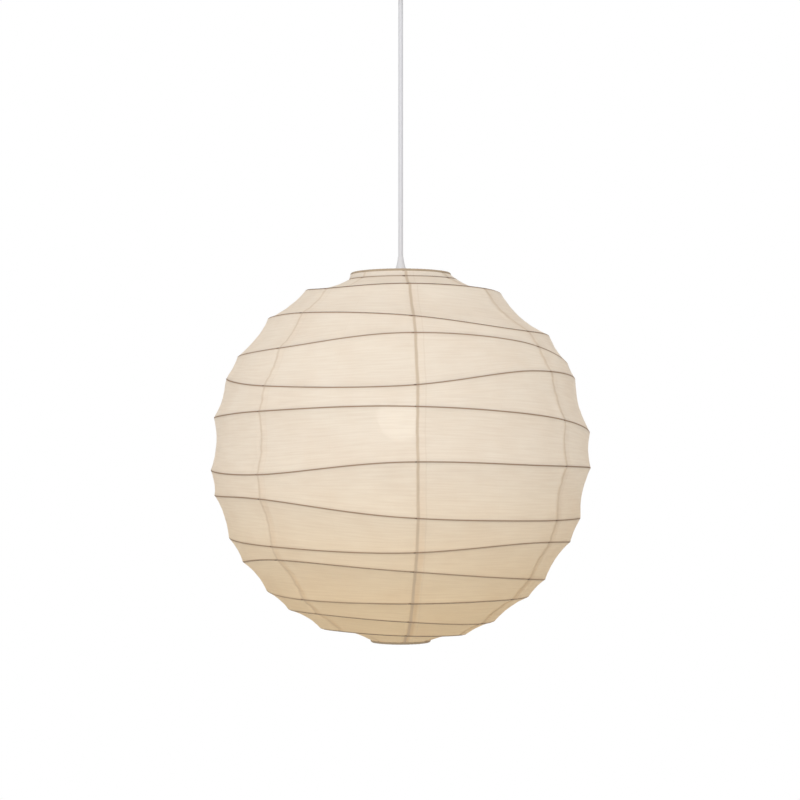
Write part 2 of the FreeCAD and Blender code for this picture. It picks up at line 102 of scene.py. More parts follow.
def add_node(tree: Tree, kind: str, inputs: dict | None = None, **settings: object) -> bpy.types.Node:
    """Adds a shader node with its settings, values and links.

    Args:
        tree: The node tree that it joins.
        kind: The node's type, without the ShaderNode in front.
        inputs: For each input, by name or place, a plain value or the output socket that feeds it.
        settings: Properties of the node, such as operation.

    Returns:
        The new node.
    """
    node = tree.nodes.new("ShaderNode" + kind)
    for name, value in settings.items():
        setattr(node, name, value)
    for name, value in (inputs or {}).items():
        if isinstance(value, Socket):
            tree.links.new(value, node.inputs[name])
        else:
            node.inputs[name].default_value = value
    return node


def pattern(tree: Tree, place: Socket, scale: float, detail: float) -> Socket:
    """A cloudy pattern from 0 to 1, with about scale patches to each unit of place."""
    return add_node(tree, "TexNoise", {"Vector": place, "Scale": scale, "Detail": detail}).outputs["Fac"]


def ranged(
    tree: Tree, value: Socket, low: float, high: float,
    start: float = 0.0, end: float = 1.0, curve: str = "LINEAR",
) -> Socket:
    """Carries value over from the range start to end onto the range low to high, and no further."""
    limits = {"Value": value, "From Min": start, "From Max": end, "To Min": low, "To Max": high}
    return add_node(tree, "MapRange", limits, interpolation_type=curve).outputs["Result"]


def blended(tree: Tree, share: Socket | float, first: object, second: object, blend: str = "MIX") -> Socket:
    """The first colour with share of the second blended in."""
    colours = {"Factor": share, 6: first, 7: second}
    return add_node(tree, "Mix", colours, data_type="RGBA", blend_type=blend).outputs[2]


def bumped(tree: Tree, height: Socket, distance: float, strength: float) -> Socket:
    """Which way the surface faces where height raises it by up to distance, in metres."""
    relief = {"Height": height, "Distance": distance, "Strength": strength}
    return add_node(tree, "Bump", relief).outputs["Normal"]


def placed(name: str, data: bpy.types.ID) -> Piece:
    """Makes an object of data and puts it in the scene."""
    piece = bpy.data.objects.new(name, data)
    bpy.context.scene.collection.objects.link(piece)
    return piece


def smooth_mesh(name: str, points: Sequence, faces: Sequence) -> bpy.types.Mesh:
    """Makes a smooth shaded mesh from points and faces."""
    mesh = bpy.data.meshes.new(name)
    mesh.from_pydata(points, [], faces)
    for polygon in mesh.polygons:
        polygon.use_smooth = True
    return mesh


def select_only(piece: Piece) -> None:
    """Deselects everything, then selects one piece and makes it active."""
    bpy.ops.object.select_all(action="DESELECT")
    piece.select_set(True)
    bpy.context.view_layer.objects.active = piece


def own(piece: Piece, material: bpy.types.Material, body: str) -> None:
    """Gives a new piece its material and the body it rides on."""
    piece.data.materials.clear()
    piece.data.materials.append(material)
    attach(piece, body)


def settle(piece: Piece) -> None:
    """Bakes a piece's place, turn and scale into its mesh, so that its object sits at the origin."""
    select_only(piece)
    bpy.ops.object.transform_apply(location=True, rotation=True, scale=True)


def finish_with(piece: Piece, kind: str, **settings: object) -> None:
    """Adds a modifier with its settings and applies it."""
    select_only(piece)
    modifier = piece.modifiers.new(kind.lower(), kind)
    for name, value in settings.items():
        setattr(modifier, name, value)
    bpy.ops.object.modifier_apply(modifier=modifier.name)


def joined(pieces: Sequence[Piece], name: str) -> Piece:
    """Joins pieces into the first of them and names it."""
    select_only(pieces[0])
    for piece in pieces[1:]:
        piece.select_set(True)
    bpy.ops.object.join()
    whole = bpy.context.object
    whole.name = whole.data.name = name
    return whole


def turned_ring(name: str, outline: Sequence[tuple[float, float]], around: int) -> Piece:
    """Makes a ring round the pendant's axis by extruding a circle from corner to corner of its section.

    Args:
        name: The piece's name.
        outline: The section's corners, as radius and height.
        around: How many points go round.

    Returns:
        The closed ring.
    """
    bpy.ops.object.select_all(action="DESELECT")
    bpy.ops.mesh.primitive_circle_add(vertices=around, radius=outline[0][0], location=(0, 0, outline[0][1]))
    piece = bpy.context.object
    piece.name = piece.data.name = name
    settle(piece)
    bpy.ops.object.mode_set(mode="EDIT")
    bpy.ops.mesh.select_all(action="SELECT")
    for (reach, height), (next_reach, next_height) in zip(outline, (*outline[1:], outline[0])):
        grow = next_reach / reach
        bpy.ops.mesh.extrude_region_move(TRANSFORM_OT_translate={"value": (0, 0, next_height - height)})
        bpy.ops.transform.resize(value=(grow, grow, 1), center_override=(0, 0, next_height))
    bpy.ops.mesh.select_all(action="SELECT")
    bpy.ops.mesh.remove_doubles(threshold=0.001 * MM)
    bpy.ops.mesh.normals_make_consistent(inside=False)
    bpy.ops.object.mode_set(mode="OBJECT")
    return piece


# ---- finishes ----


@dataclass(frozen=True)
class Finish:
    """A material that is made once and shared by the pieces that have it.

    Attributes:
        name: What the material is and how its surface was made.
        colour: Its sRGB colour in hex.
        roughness: How rough its surface is.
    """

    name: str
    colour: str
    roughness: float

    def material(self) -> bpy.types.Material:
        """The Blender material, made at its first use."""
        found = bpy.data.materials.get(self.name)
        if found is not None:
            return found
        made = bpy.data.materials.new(self.name)
        made.use_nodes = True
        made.node_tree.nodes.clear()
        surface = self.shade(made.node_tree)
        add_node(made.node_tree, "OutputMaterial", {"Surface": surface})
        return made

    def shade(self, tree: Tree) -> Socket:
        """Builds the nodes.

        Args:
            tree: The empty tree of the new material.

        Returns:
            The socket of the finished shader.
        """
        raise NotImplementedError

    def dress(self, nodes: Iterable[str]) -> None:
        """Puts this finish on CAD nodes, through their objects' own material slots."""
        for name in nodes:
            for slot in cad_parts[name].material_slots:
                slot.link = "OBJECT"
                slot.material = self.material()


@dataclass(frozen=True)
class Moulded(Finish):
    """Moulded, extruded or fired stuff with a fine even grain and slight cloudiness.

    Attributes:
        grain_mm: Spacing of the surface's grain, drawn as coarse as it needs to show.
        depth_mm: Height of the grain.
        cloud: How much the colour drifts from place to place.
        emission: How strongly it glows, for a lit diffuser.
    """

    CLOUDS_TO_METRE = 60.0
    DRIFT = 0.06
    grain_mm: float = 0.8
    depth_mm: float = 0.02
    cloud: float = 0.05
    emission: float = 0.0

    def shade(self, tree: Tree) -> Socket:
        """Cloudy colour and a bumped grain, which break the shine as a mould's texture does."""
        place = add_node(tree, "TexCoord").outputs["Object"]
        clouds = pattern(tree, place, self.CLOUDS_TO_METRE, 3.0)
        grain = pattern(tree, place, 1 / (self.grain_mm * MM), 2.0)
        base = linear(self.colour)
        dark = tuple(channel * (1 - self.cloud) for channel in base[:3]) + (1.0,)
        values = {
            "Base Color": blended(tree, clouds, dark, base),
            "Roughness": ranged(tree, grain, self.roughness - self.DRIFT, self.roughness + self.DRIFT),
            "Normal": bumped(tree, grain, self.depth_mm * MM, 0.6), "IOR": 1.5,
        }
        if self.emission:
            values |= {"Emission Color": base, "Emission Strength": self.emission}
        return add_node(tree, "BsdfPrincipled", values).outputs["BSDF"]


class Lay(Enum):
    """Which way the fine marks run on a metal, as the scale of the pattern along X, Y and Z."""

    DRAWN = (1.0, 1.0, 0.06)
    TURNED = (0.05, 0.05, 1.0)
    ROLLED = (0.05, 1.0, 1.0)
    PLATED = (1.0, 1.0, 1.0)


@dataclass(frozen=True)
class Metal(Finish):
    """Bare or plated metal with the marks of how it was made.

    Attributes:
        lay: Which way the marks run.
        mark_mm: Spacing of the marks, drawn as coarse as it needs to show.
    """

    BLOOMS_TO_METRE = 90.0
    DULLNESS = 0.82
    MARK_DEPTH = 0.01 * MM
    lay: Lay = Lay.PLATED
    mark_mm: float = 0.5

    def shade(self, tree: Tree) -> Socket:
        """Fine marks in the roughness and a faint drift of colour, which give metal its broken glint."""
        place = add_node(tree, "TexCoord").outputs["Object"]
        turned = add_node(tree, "Mapping", {"Vector": place, "Scale": self.lay.value}).outputs["Vector"]
        marks = pattern(tree, turned, 1 / (self.mark_mm * MM), 4.0)
        bloom = pattern(tree, place, self.BLOOMS_TO_METRE, 3.0)
        base = linear(self.colour)
        dull = tuple(channel * self.DULLNESS for channel in base[:3]) + (1.0,)
        return add_node(tree, "BsdfPrincipled", {
            "Base Color": blended(tree, bloom, dull, base), "Metallic": 1.0,
            "Roughness": ranged(tree, marks, self.roughness - 0.1, self.roughness + 0.12),
            "Normal": bumped(tree, marks, self.MARK_DEPTH, 0.5),
        }).outputs["BSDF"]


@dataclass(frozen=True)
class ShadePaper(Finish):
    """Laminated mulberry paper glued over the rib wire, which lets light through.

    Attributes:
        foot_shade_colour: Painted shade: the darker, warmer colour low on the ball, where more of the light
            has come through paper first.
        wire_line_and_shadow_colour: The colour over the rib wire, whose dark coat shows through the paper,
            darkened further by the wire's painted shadow.
        seam_colour: The colour where two gores lie glued over each other.
        shine_through: How much of the light goes through instead of back.
        see_through: How much passes straight through the gaps between fibres, which lets the lit bulb show.
        foot_shade_fade: Heights above the ball's middle between which the painted foot shade comes in.
        fibre: Length and spacing of the fibres, drawn that coarse so that they show.
        fibre_tint: What the fibres darken the paper with.
        patch_tint: What the pulp's thicker patches darken it with.
        shade_tint: What the soft shade beside the wire darkens it with.
        seam_middle: Middle of the seam's dark band, in millimetres past the seam.
        lap_edge: Where the lap's far edge shows, in millimetres past the seam.
        seam_mask: For the seam's band, millimetres from its middle to full and to none, and its strength.
        lap_mask: The same for the lap's far edge.
        shade_mask: The same for the soft shade beside the wire.
        line_mask: The same for the line over the wire, its coat showing through and its painted shadow.
    """

    foot_shade_colour: str = "#f0dcba"
    wire_line_and_shadow_colour: str = "#b2957c"
    seam_colour: str = "#d6c6b0"
    shine_through: float = 0.42
    see_through: float = 0.018
    foot_shade_fade: tuple[float, float] = (0.03, -0.22)
    fibre: tuple[float, float] = (0.045, 0.002)
    fibre_tint: str = "#b99a76"
    patch_tint: str = "#d3b08a"
    shade_tint: str = "#a88b6c"
    seam_middle: float = 1.6
    lap_edge: float = 10.4
    seam_mask: tuple[float, float, float] = (0.8, 2.4, 0.7)
    lap_mask: tuple[float, float, float] = (0.2, 1.2, 0.15)
    shade_mask: tuple[float, float, float] = (0.4, 3.5, 0.1)
    line_mask: tuple[float, float, float] = (0.4, 1.0, 0.95)

    def near(self, tree: Tree, value: Socket, inner: float, outer: float, peak: float) -> Socket:
        """A mask that is peak where value is under inner and fades to 0 at outer."""
        return ranged(tree, value, peak, 0.0, inner, outer, "SMOOTHSTEP")

    def apart(self, tree: Tree, value: Socket, centre: float) -> Socket:
        """How far value is from centre."""
        off = add_node(tree, "Math", {0: value, 1: centre}, operation="SUBTRACT").outputs[0]
        return add_node(tree, "Math", {0: off}, operation="ABSOLUTE").outputs[0]

    def shade(self, tree: Tree) -> Socket:
        """Warm fibre streaks, the wire's dark line with its painted shadow, painted shade low on the ball and
        the seams' double paper over a see-through body.
        """
        texture_place = add_node(tree, "TexCoord")
        place = texture_place.outputs["Object"]
        height = add_node(tree, "SeparateXYZ", {0: place}).outputs["Z"]
        # Painted shade: the paper turns darker and warmer towards the bottom of the ball.
        start, end = (PaperBall.centre_height() + offset for offset in self.foot_shade_fade)
        low = ranged(tree, height, 0.0, 1.0, start, end, "SMOOTHSTEP")
        colour = blended(tree, low, linear(self.colour), linear(self.foot_shade_colour))
        fibre_scale = (PaperBall.UV_SPAN / self.fibre[0], PaperBall.UV_SPAN / self.fibre[1], 1.0)
        along = add_node(tree, "Mapping", {"Vector": texture_place.outputs["UV"], "Scale": fibre_scale})
        fibres = pattern(tree, along.outputs["Vector"], 1.0, 4.0)
        pulp = pattern(tree, place, 22.0, 4.0)
        streak = ranged(tree, fibres, 0.0, 0.1, 0.35, 0.7)
        colour = blended(tree, streak, colour, linear(self.fibre_tint), "MULTIPLY")
        patch = ranged(tree, pulp, 0.0, 0.07, 0.4, 0.65)
        colour = blended(tree, patch, colour, linear(self.patch_tint), "MULTIPLY")
        rib, seam, ink = (
            add_node(tree, "Attribute", attribute_name=name).outputs["Fac"]
            for name in ("rib_mm", "seam_mm", "seam_ink")
        )
        for middle_mm, mask in ((self.seam_middle, self.seam_mask), (self.lap_edge, self.lap_mask)):
            band = self.near(tree, self.apart(tree, seam, middle_mm), *mask)
            share = add_node(tree, "Math", {0: band, 1: ink}, operation="MULTIPLY").outputs[0]
            colour = blended(tree, share, colour, linear(self.seam_colour))
        soft = self.near(tree, rib, *self.shade_mask)
        colour = blended(tree, soft, colour, linear(self.shade_tint), "MULTIPLY")
        # The dark line over the rib wire: its coat showing through the paper, and a painted shadow of the
        # wire.
        colour = blended(tree, self.near(tree, rib, *self.line_mask), colour, linear(self.wire_line_and_shadow_colour))
        grit = pattern(tree, place, 900.0, 2.0)
        relief = add_node(tree, "Math", {0: fibres, 1: grit}, operation="ADD").outputs[0]
        normal = bumped(tree, relief, 0.12 * MM, 0.45)
        front = add_node(tree, "BsdfPrincipled", {
            "Base Color": colour, "Roughness": self.roughness, "Specular IOR Level": 0.25, "Normal": normal,
        }).outputs["BSDF"]
        through = add_node(tree, "BsdfTranslucent", {"Color": colour, "Normal": normal}).outputs["BSDF"]
        body = add_node(tree, "MixShader", {0: self.shine_through, 1: front, 2: through}).outputs[0]
        gaps = add_node(tree, "BsdfTransparent", {"Color": (1.0, 1.0, 1.0, 1.0)}).outputs["BSDF"]
        return add_node(tree, "MixShader", {0: self.see_through, 1: body, 2: gaps}).outputs[0]


@dataclass(frozen=True)
class CoatedWire(Finish):
    """Thin iron wire with a baked brown coat, slightly uneven where it was dipped."""

    def shade(self, tree: Tree) -> Socket:
        """A drift between the coat's colour and a darker one, and small runs in the bump."""
        place = add_node(tree, "TexCoord").outputs["Object"]
        runs = pattern(tree, place, 350.0, 3.0)
        return add_node(tree, "BsdfPrincipled", {
            "Base Color": blended(tree, runs, linear("#4a3b30"), linear(self.colour)),
            "Roughness": ranged(tree, runs, self.roughness - 0.1, self.roughness + 0.1),
            "Normal": bumped(tree, runs, 0.03 * MM, 0.5),
        }).outputs["BSDF"]


SHADE_PAPER = ShadePaper("mulberry paper, laminated and glued", "#f8f0e4", 0.85)
HEM_PAPER = Moulded("mulberry paper, rolled and glued", "#b7a48c", 0.8, 0.6, 0.05, 0.25)
RIB_COAT = CoatedWire("iron wire, brown dip coat", "#6b5646", 0.55)
SPRING_WIRE = Metal("zinc plated spring wire, drawn", "#b9bcc0", 0.32, Lay.DRAWN, 0.4)
PRESSED_STEEL = Metal("zinc plated steel, pressed", "#b4b7ba", 0.38, Lay.ROLLED, 0.8)
SCREW_STEEL = Metal("zinc plated steel, turned", "#c3c6c9", 0.3, Lay.TURNED, 0.3)
BRASS = Metal("brass, pressed", "#c9a45c", 0.28, Lay.ROLLED, 0.5)
CAP_ALUMINIUM = Metal("aluminium, rolled thread", "#c8c9cb", 0.3, Lay.TURNED, 0.3)
SHEATH = Moulded("white PVC sheath, extruded", "#cfcfd3", 0.38, 0.7, 0.012, 0.04)
POLYPROPYLENE = Moulded("white polypropylene, moulded", "#efefec", 0.42, 0.5, 0.015, 0.04)
SOFT_VINYL = Moulded("soft white vinyl, moulded", "#d3d3d6", 0.55, 0.6, 0.02, 0.05)
NYLON = Moulded("natural nylon, moulded", "#e2e2d8", 0.45, 0.5, 0.015, 0.06)
STEATITE = Moulded("steatite ceramic, fired unglazed", "#e6dfd0", 0.75, 0.4, 0.03, 0.1)
LIVE_PVC = Moulded("brown PVC, extruded", "#6b3f22", 0.4, 0.6, 0.01, 0.1)
NEUTRAL_PVC = Moulded("blue PVC, extruded", "#2d5ea8", 0.4, 0.6, 0.01, 0.1)
SLEEVE_PVC = Moulded("grey PVC sleeve, extruded", "#c9c9c4", 0.45, 0.6, 0.01, 0.08)
BLACK_GLASS = Moulded("black insulating glass, pressed", "#141416", 0.2, 0.8, 0.01, 0.3)
BULB_PLASTIC = Moulded("white heat conducting plastic, moulded", "#eeeeee", 0.4, 0.5, 0.012, 0.03)
OPAL = Moulded("opal polycarbonate, blown and lit", "#fbf6ea", 0.35, 0.6, 0.01, 0.02, 3.5)
WHITE_BOARD = Moulded("circuit board, white lacquer", "#e6e6e0", 0.4, 0.5, 0.01, 0.04)


# ---- studio ----


@dataclass
class Studio:
    """Camera, soft light and a plain pale floor.

    Attributes:
        distance: From the camera to the ball's middle.
        lens: Focal length on a 36 mm sensor.
        tilt: How far the camera looks up from level, in degrees.
        aside: How far to the right of the ball's middle the camera stands.
        floor_height: Where the floor lies below the ceiling.
    """

    distance: float = 2.2
    lens: float = 83.5
    tilt: float = 1.69
    aside: float = -0.8 * MM
    floor_height: float = -3.6

    def build(self) -> None:
        """Makes the camera, the world, the lights and the floor."""
        self.place_camera()
        self.light_world()
        self.hang_light("key", (-0.5, -2.3, 0.75), 2.0, 28.0)
        self.hang_light("top fill", (0.3, 0.6, 1.6), 2.4, 1.5)
        self.lay_floor()
        bpy.context.scene.view_settings.view_transform = "Standard"

    def place_camera(self) -> None:
        """Makes the scene's camera, level with the ball's middle."""
        camera = placed("camera", bpy.data.cameras.new("camera"))
        camera.data.lens = self.lens
        camera.location = (self.aside, -self.distance, PaperBall.centre_height())
        camera.rotation_euler = (math.radians(90 + self.tilt), 0, 0)
        bpy.context.scene.camera = camera

    def light_world(self) -> None:
        """A white room that is dimmer overhead, and plain white where the camera looks past everything."""
        world = bpy.data.worlds.new("studio")
        world.use_nodes = True
        bpy.context.scene.world = world
        tree = world.node_tree
        tree.nodes.clear()
        up = add_node(tree, "SeparateXYZ", {0: add_node(tree, "TexCoord").outputs["Generated"]}).outputs["Z"]
        strength = ranged(tree, up, 1.0, 0.7, -0.6, 0.9)
        seen = add_node(tree, "LightPath").outputs["Is Camera Ray"]
        shown = add_node(tree, "Mix", {"Factor": seen, 2: strength, 3: 1.0}, data_type="FLOAT").outputs[0]
        ground = add_node(tree, "Background", {"Color": (1.0, 1.0, 1.0, 1.0), "Strength": shown})
        add_node(tree, "OutputWorld", {"Surface": ground.outputs[0]})

    def hang_light(self, name: str, offset: tuple[float, float, float], side: float, power: float) -> None:
        """Hangs a soft square light that points at the ball.

        Args:
            name: The light's name.
            offset: Its place from the ball's middle.
            side: Its width.
            power: Its strength in watts.
        """
        data = bpy.data.lights.new(name, "AREA")
        data.shape = "SQUARE"
        data.size = side
        data.energy = power
        lamp = placed(name, data)
        lamp.location = Vector(offset) + Vector((0, 0, PaperBall.centre_height()))
        lamp.rotation_euler = (-Vector(offset)).to_track_quat("-Z", "Y").to_euler()

    def lay_floor(self) -> None:
        """A wide pale floor that looks plain white and gives back a little soft light."""
        bpy.ops.object.select_all(action="DESELECT")
        bpy.ops.mesh.primitive_plane_add(size=60, location=(0, 0, self.floor_height))
        floor = bpy.context.object
        floor.name = "floor"
        material = bpy.data.materials.new("pale floor paint")
        material.use_nodes = True
        tree = material.node_tree
        tree.nodes.clear()
        grey = add_node(tree, "BsdfDiffuse", {"Color": (0.92, 0.91, 0.88, 1.0)})
        white = add_node(tree, "Emission", {"Color": (1.0, 1.0, 1.0, 1.0), "Strength": 1.0})
        seen = add_node(tree, "LightPath").outputs["Is Camera Ray"]
        surface = add_node(tree, "MixShader", {0: seen, 1: grey.outputs[0], 2: white.outputs[0]})
        add_node(tree, "OutputMaterial", {"Surface": surface.outputs[0]})
        floor.data.materials.append(material)


# ---- cord ----


@dataclass
class HangingCord:
    """The white sheathed cord, which hangs dead straight under the shade's weight.

    Attributes:
        foot: Where it ends inside the lampholder.
        exit: Where it leaves the lampholder. Not used.
        head: Where it turns in the gland at the ceiling.
        thickness: The sheath's diameter.
        points: How many points its straight route has.
    """

    foot: float = -0.426
    exit: float = -0.407
    head: float = -0.057
    thickness: float = 0.0057
    points: int = 5

    def build(self) -> None:
        data = bpy.data.curves.new("cord_sheath", "CURVE")
        data.dimensions = "3D"
        data.bevel_depth = self.thickness / 2
        data.bevel_resolution = 6
        data.use_fill_caps = True
        spline = data.splines.new("NURBS")
        spline.points.add(self.points - 1)
        for index, point in enumerate(spline.points):
            point.co = (0, 0, mix(self.foot, self.head, index / (self.points - 1)), 1)
        spline.order_u = 3
        spline.use_endpoint_u = True
        piece = placed("cord_sheath", data)
        own(piece, SHEATH.material(), "pendant")
        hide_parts("cord")
        log.info("cord_sheath: %.0f mm long, straight", (self.head - self.foot) / MM)


# ---- paper ball ----


@dataclass(frozen=True)
class Turn:
    """Heights of one turn of the rib wire above the ball's middle, in millimetres, round its front half."""

    left: float
    left_front: float
    front: float
    right_front: float
    right: float


@dataclass
class RibCourse:
    """The course of the rib wire: one spiral from the top ring to the bottom one, by hand and uneven.

    Attributes:
        turns: The heights that each turn passes through.
        run_out: The height at which the last turn ends.
        wander: How far a turn strays behind the ball from the middle of its two ends.
    """

    WANDER_STEP = 2.4
    turns: Sequence[Turn] = (
        Turn(207.5, 206.5, 206.4, 206.6, 207),
        Turn(195, 190, 193, 192, 190),
        Turn(161, 160, 154, 141, 139),
        Turn(115, 119, 133, 127, 105),
        Turn(91, 76, 74, 93, 88),
        Turn(44, 48, 52, 43, 24),
        Turn(-17, -22, -8, -12, -16),
        Turn(-47, -49, -67, -73, -75),
        Turn(-97, -102, -106, -98, -103),
        Turn(-126, -117, -126, -138, -147),
        Turn(-159, -163, -164, -164, -167),
        Turn(-181, -180, -186, -193, -195),
        Turn(-203, -202, -205, -208, -211),
    )
    run_out: float = -208.5
    wander: float = 6.0
    bearings: list[float] = field(default_factory=list)
    heights: list[float] = field(default_factory=list)
    slopes: list[float] = field(default_factory=list)

    def __post_init__(self) -> None:
        """Lists the stations that the wire passes and its slope at each."""
        for number, turn in enumerate(self.turns):
            last = number + 1 == len(self.turns)
            ahead = self.run_out if last else self.turns[number + 1].left
            stray = self.wander * math.sin(self.WANDER_STEP * number) * (0 if last else 1)
            behind = (turn.right + ahead) / 2 + stray
            passed = (turn.left, turn.left_front, turn.front, turn.right_front, turn.right, behind)
            for bearing, height in zip((0, 45, 90, 135, 180, 270), passed):
                self.bearings.append(FULL_TURN * number + bearing)
                self.heights.append(height)
        self.bearings.append(FULL_TURN * len(self.turns))
        self.heights.append(self.run_out)
        final = len(self.bearings) - 1
        for index in range(final + 1):
            before, after = max(index - 1, 0), min(index + 1, final)
            rise = self.heights[after] - self.heights[before]
            self.slopes.append(rise / (self.bearings[after] - self.bearings[before]))

    def height(self, bearing: float) -> float:
        """How high the wire runs at a bearing.

        Args:
            bearing: Degrees along the whole spiral, from the ball's left side on the first turn.

        Returns:
            The height above the ball's middle, in metres.
        """
        index = min(max(bisect.bisect_right(self.bearings, bearing) - 1, 0), len(self.bearings) - 2)
        span = self.bearings[index + 1] - self.bearings[index]
        share = (bearing - self.bearings[index]) / span
        if share < 0 or share > 1:
            index += 1 if share > 1 else 0
            return (self.heights[index] + self.slopes[index] * (bearing - self.bearings[index])) * MM
        square, cube = share**2, share**3
        return MM * (
            (2 * cube - 3 * square + 1) * self.heights[index]
            + (cube - 2 * square + share) * span * self.slopes[index]
            + (3 * square - 2 * cube) * self.heights[index + 1]
            + (cube - square) * span * self.slopes[index + 1]
        )


@dataclass(frozen=True)
class Collar:
    """Where the wire leaves the ball's round: the pinched-in neck under the top ring, and its bent-in end.

    Attributes:
        radius: Radius of the first turn at the left.
        spread: How much wider the turn is at the right.
        release: Bearings between which the wire leaves the neck for the ball's round.
        dip: How deep the neck is pinched under a straight line from the ring to the second turn.
        dip_share: Where on that line the pinch is deepest.
        end_radius: Radius at which the wire's last turn ends, bent in to lie flat by the bottom ring.
        end_bend: Bearings along the spiral between which it bends in.
    """

    radius: float = 0.0615
    spread: float = 0.006
    release: tuple[float, float] = (170.0, 350.0)
    dip: float = 0.0060
    dip_share: float = 0.075
    end_radius: float = 0.060
    end_bend: tuple[float, float] = (4510.0, 4670.0)

    def reach(self, bearing: float, round_reach: float) -> float:
        """Radius of the wire at a bearing along the spiral, where the ball's round would give round_reach."""
        held = self.radius + self.spread * ease(0.0, 180.0, bearing)
        free = mix(held, round_reach, ease(*self.release, bearing))
        return mix(free, self.end_radius, ease(*self.end_bend, bearing))

    def pinch(self, bearing: float, share: float) -> float:
        """How deep the first band dips where the wire has left the neck, to meet the next gore's neck."""
        slope = share / self.dip_share if share < self.dip_share else (1 - share) / (1 - self.dip_share)
        return self.dip * slope * ease(*self.release, bearing)


@dataclass(frozen=True)
class Ripple:
    """An uneven swell of the paper, with its measures in millimetres.

    Attributes:
        depth: How high it can stand.
        width: Its length across.
        spacing: Its spacing down.
        layer: The slice of noise that it is cut from, so that no two swells agree.
    """

    depth: float
    width: float
    spacing: float
    layer: float

    def at(self, across: float, down: float, share: float = 1.0, shift: float = 0.0) -> float:
        """Its height at a place, scaled by share, in the slice that lies shift further on."""
        spot = Vector((across / self.width, down / self.spacing, self.layer + shift))
        return share * self.depth * noise.noise(spot)


